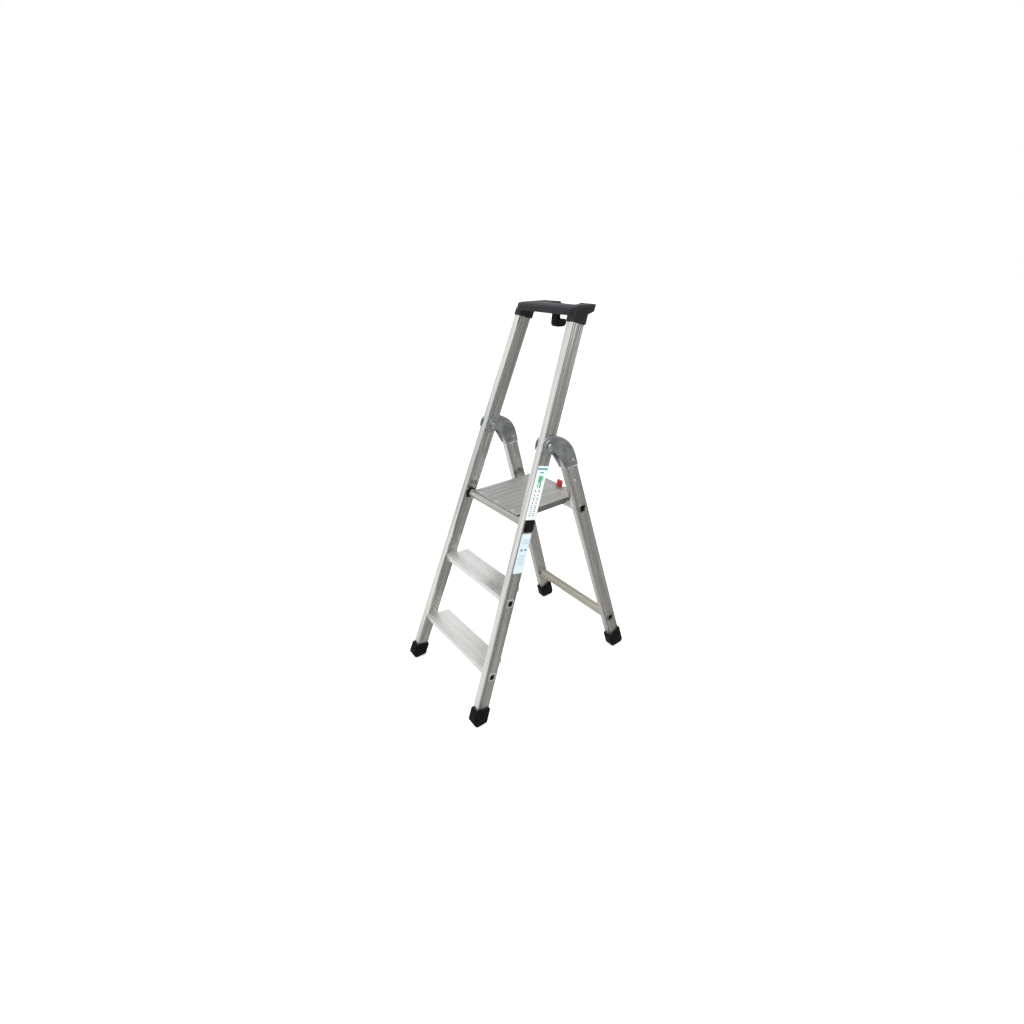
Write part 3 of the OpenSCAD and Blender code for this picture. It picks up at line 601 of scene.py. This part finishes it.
# ---------------------------------------------------------------- bolts and rivets
def lathe(bm, matrix, profile, n=28):
    """Turned shape about the local X axis; a profile entry is (x, radius) or (x, radius, sides)."""
    rings = []
    for x, r, *sides in profile:
        if r == 0:
            rings.append([bm.verts.new(matrix @ Vector((x, 0, 0)))])
            continue
        ring = []
        for i in range(n):
            t = 2 * math.pi * i / n
            k = r
            if sides:
                part = 2 * math.pi / sides[0]
                k = r * math.cos(part / 2) / math.cos(t % part - part / 2)
            ring.append(bm.verts.new(matrix @ Vector((x, k * math.cos(t), k * math.sin(t)))))
        rings.append(ring)
    for here, there in zip(rings, rings[1:]):
        for i in range(n):
            j = (i + 1) % n
            if len(here) == 1:
                bm.faces.new((here[0], there[j], there[i]))
            elif len(there) == 1:
                bm.faces.new((here[i], here[j], there[0]))
            else:
                bm.faces.new((here[i], here[j], there[j], there[i]))


def dome(x, radius, height, way, steps=6):
    """The side of a domed head, from its rim at x up to a small flat top."""
    first, sweep = 12, 62  # degrees of the arc
    out = []
    for i in range(steps + 1):
        t = math.radians(first + sweep * i / steps)
        r = radius * math.cos(t) / math.cos(math.radians(first))
        out.append((x + way * height * math.sin(t), r))
    return out


# On each side one rivet goes through the bracket's cheeks and two go through the rear stile.
# Each is (y, down, stand-off from the stile's faces), the first two in millimetres.
RIVETS = ((74, 106, CHEEK), (REAR_OFFSET / MM + 24, 140, 0), (REAR_OFFSET / MM + 24, 184, 0))
RIM, SHANK, TIP = 4.75 * MM, 2.5 * MM, 0.9 * MM
bm = bmesh.new()
for side in (1, -1):
    for y, down, stand_off in RIVETS:
        where = on_rear(side) @ Matrix.Translation((0, y * MM, -down * MM))
        outer, inner = stand_off, -STILE - stand_off
        lathe(bm, where, [
            (inner - 1.1 * MM, 0), (inner - 1.1 * MM, TIP),
            *reversed(dome(inner, RIM, 1.75 * MM, -1)),
            (inner, RIM), (inner, SHANK), (outer, SHANK), (outer, RIM),
            *dome(outer, RIM, 1.75 * MM, 1),
            (outer + 1.1 * MM, TIP), (outer + 1.1 * MM, 0),
        ])
add_piece("domed_rivets", outward(bm), "zinc", "rear_frame", ["bracket_rivets"], 28)

# The bolts have a washer face, a domed head and a hexagon socket.
bm = bmesh.new()
cheek_out, cheek_in = pivot_half + CHEEK, pivot_half - STILE - CHEEK
base = cheek_out + 0.8 * MM
for side in (1, -1):
    where = side_matrix(side) @ Matrix.Translation((0, pivot.y, pivot.z))
    lathe(bm, where, [
        (cheek_in - 5 * MM, 0), (cheek_in - 5 * MM, 3.2 * MM), (cheek_in - 4.2 * MM, 4 * MM),
        (base, 4 * MM), (base, 8.2 * MM), (base + 0.7 * MM, 8.5 * MM),
        *dome(base + 0.8 * MM, 8.4 * MM, 3.7 * MM, 1)[:-1],
        (base + 4.45 * MM, 3.2 * MM, 6), (base + 2.0 * MM, 3.0 * MM, 6), (base + 1.8 * MM, 0),
    ], 36)
add_piece("domed_pivot_bolts", outward(bm), "zinc", node_body["pivot_bolts"], ["pivot_bolts"], 28)

# Grip ridges on both faces of the catch's thumb plate
PLATE_HALF, GRIP_HALF, GRIP_RIDGES = 0.00425, 0.0072, 4
bm = bmesh.new()
for k in range(GRIP_RIDGES):
    z = DECK_TOP + (6 + 3.4 * k) * MM
    for way in (1, -1):
        facing = Matrix.Translation((pin.x, pin.y, z)) @ rot("Z", 90 * way)
        bead(bm, facing, [(-GRIP_HALF, 0), (GRIP_HALF, 0)], PLATE_HALF, 0.0013, 0.0006)
add_piece("catch_grip", outward(bm), "red", "catch")

# ---------------------------------------------------------------- floor and light
bm = bmesh.new()
bmesh.ops.create_grid(bm, x_segments=1, y_segments=1, size=30)
me = bpy.data.meshes.new("floor")
bm.to_mesh(me)
bm.free()
floor = bpy.data.objects.new("floor", me)
bpy.context.scene.collection.objects.link(floor)
floor.location.z = -0.0004
g = Graph("floor_paper")
grain = g.noise(g.place(), 300.0, 3.0, 0.6)
me.materials.append(g.done({
    "Base Color": g.mix(grain, (0.90, 0.90, 0.90), (0.94, 0.94, 0.94)), "Roughness": 0.9,
    "Emission Color": (1, 1, 1, 1), "Emission Strength": 0.5,
}))
floor.visible_glossy = False


def area(name, where, at, size, power):
    light = bpy.data.lights.new(name, "AREA")
    light.shape = "RECTANGLE"
    light.size, light.size_y = size
    light.energy = power
    ob = bpy.data.objects.new(name, light)
    bpy.context.scene.collection.objects.link(ob)
    ob.location = where
    ob.rotation_euler = (Vector(where) - Vector(at)).to_track_quat("Z", "Y").to_euler()
    return ob


area("front_left_box", (-2.6, -3.4, 1.5), (0, 0, 0.7), (2.6, 2.4), 60).visible_glossy = False
area("top_box", (0.4, -0.4, 4.0), (0, 0, 0.6), (3.4, 3.4), 84)
area("right_fill", (3.2, -1.2, 1.8), (0, 0, 0.7), (2.0, 2.0), 20)

# The metal reflects a room that is bright on its front left, with one more light box behind on
# the right. The camera sees plain white instead.
TO_WINDOW, TO_BOX = (-0.92, -0.34, 0.20), (0.751, 0.431, 0.501)
SKY = [(0.0, (0.255, 0.25, 0.235)), (0.5, (0.42, 0.42, 0.41)),
       (0.8, (0.90, 0.925, 0.94)), (1.0, (0.98, 1.0, 1.0))]
BOX = [(0.87, (0, 0, 0)), (0.965, (0.90, 0.96, 1.0))]
world = bpy.data.worlds.new("studio")
bpy.context.scene.world = world
world.use_nodes = True
w = Graph("", world.node_tree)
direction = w.add("ShaderNodeTexCoord", out=0)
room = w.ramp(w.math("ADD", w.times(w.dot(direction, TO_WINDOW), 0.5), 0.5), SKY)
box = w.ramp(w.dot(direction, TO_BOX), BOX)
lit = w.add("ShaderNodeBackground", {"Color": w.mix(1.0, room, box, "ADD"), "Strength": 1.15})
plain = w.add("ShaderNodeBackground", {"Color": (1, 1, 1, 1), "Strength": 1.0})
seen = w.add("ShaderNodeLightPath", out=0)
both = w.add("ShaderNodeMixShader", {0: seen, 1: lit, 2: plain})
w.add("ShaderNodeOutputWorld", {"Surface": both}, out=None)

bpy.context.scene.view_settings.view_transform = "Standard"
